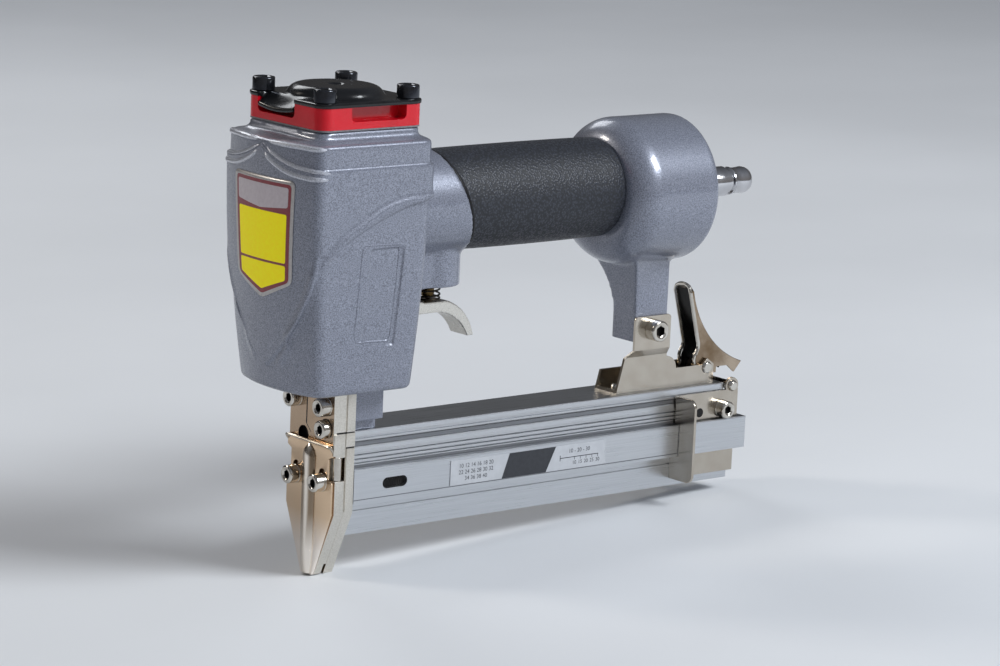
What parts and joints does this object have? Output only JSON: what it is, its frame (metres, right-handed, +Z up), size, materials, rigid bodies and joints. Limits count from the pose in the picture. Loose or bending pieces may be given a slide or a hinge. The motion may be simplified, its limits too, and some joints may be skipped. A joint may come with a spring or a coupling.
{
  "type": "pneumatic brad nailer",
  "caption": "Hand held pneumatic brad nailer with a cast head and handle, a driver in its cylinder, a sprung trigger, a sliding brad magazine with a latch, and an air plug at the rear.",
  "frame": {"origin": "nose tip on the driver axis, where a brad leaves the tool", "axes": "+X back along the handle towards the air plug, +Y to the tool's right side, +Z up the driver axis towards the cylinder cap"},
  "size_m": [0.2431, 0.0596, 0.1868],
  "materials": {
    "grey_casting": "satin",
    "grip_rubber": "matte",
    "red_cap": "gloss",
    "black_steel": "satin",
    "nickel": "polished",
    "steel": "satin",
    "spring_steel": "satin",
    "aluminium": "satin",
    "chrome": "polished",
    "brass": "satin",
    "seal_rubber": "matte",
    "valve_plastic": "matte",
    "label": "satin"
  },
  "bodies": {
    "frame": {"body_casting": "grey_casting", "grip_sleeve": "grip_rubber", "cylinder_sleeve": "aluminium", "cylinder_seals": "seal_rubber", "bumper": "seal_rubber", "head_valve_spring": "spring_steel", "cap_gasket": "seal_rubber", "cylinder_cap": "red_cap", "exhaust_plate": "black_steel", "cap_screws": "black_steel", "valve_bush": "brass", "valve_bush_seal": "seal_rubber", "trigger_spring": "spring_steel", "trigger_pin": "steel", "nose_rear_plate": "nickel", "driver_guide": "nickel", "nose_cover": "nickel", "upper_nose_screws": "nickel", "lower_nose_screws": "nickel", "nose_washers": "nickel", "guide_pins": "nickel", "fixed_rail": "aluminium", "rail_screw": "steel", "rear_bracket": "nickel", "bracket_screw": "nickel", "bracket_nut": "nickel", "bracket_rivets": "nickel", "latch_pin": "nickel", "latch_spring": "spring_steel", "end_cap": "grey_casting", "end_cap_seal": "seal_rubber", "end_cap_ring": "spring_steel", "air_plug": "chrome"},
    "driver": {"piston": "aluminium", "piston_seal": "seal_rubber", "driver_blade": "steel"},
    "main_valve": {"head_valve": "valve_plastic", "head_valve_seal": "seal_rubber"},
    "trigger": {"trigger": "aluminium"},
    "stem": {"valve_stem": "brass"},
    "magazine": {"slide_magazine": "aluminium", "size_label": "label", "left_tail_plate": "nickel", "right_tail_plate": "nickel", "tail_screws": "nickel", "tail_washers": "nickel", "catch_pin": "nickel", "pusher_rod": "steel", "pusher_spring": "spring_steel", "spring_stop": "valve_plastic"},
    "pusher": {"pusher": "steel"},
    "latch": {"latch_lever": "nickel"}
  },
  "joints": [
    {"name": "driver_stroke", "type": "slide", "parent": "frame", "child": "driver", "axis": [0, 0, -1], "range_m": [0, 0.0465]},
    {"name": "main_valve_lift", "type": "slide", "parent": "frame", "child": "main_valve", "axis": [0, 0, 1], "range_m": [0, 0.0035], "stiffness_N_per_m": 800, "springref_m": -0.002, "deforming": ["head_valve_spring"]},
    {"name": "trigger_pull", "type": "hinge", "parent": "frame", "child": "trigger", "pos_m": [0.0305, 0, 0.0996], "axis": [0, -1, 0], "range_deg": [0, 9], "stiffness_Nm_per_rad": 0.3, "springref_deg": -11.46, "deforming": ["trigger_spring"]},
    {"name": "stem_lift", "type": "slide", "parent": "frame", "child": "stem", "axis": [0, 0, 1], "range_m": [0, 0.0028]},
    {"name": "magazine_slide", "type": "slide", "parent": "frame", "child": "magazine", "axis": [1, 0, 0], "range_m": [0, 0.1]},
    {"name": "pusher_slide", "type": "slide", "parent": "magazine", "child": "pusher", "axis": [1, 0, 0], "range_m": [0, 0.11], "stiffness_N_per_m": 30, "springref_m": -0.05, "deforming": ["pusher_spring"]},
    {"name": "latch_squeeze", "type": "hinge", "parent": "frame", "child": "latch", "pos_m": [0.1879, 0, 0.0616], "axis": [0, -1, 0], "range_deg": [0, 5.5], "stiffness_Nm_per_rad": 0.4, "springref_deg": -17.19}
  ],
  "couplings": [
    {"joint": "stem_lift", "follows": "trigger_pull", "m_per_rad": 0.017}
  ]
}
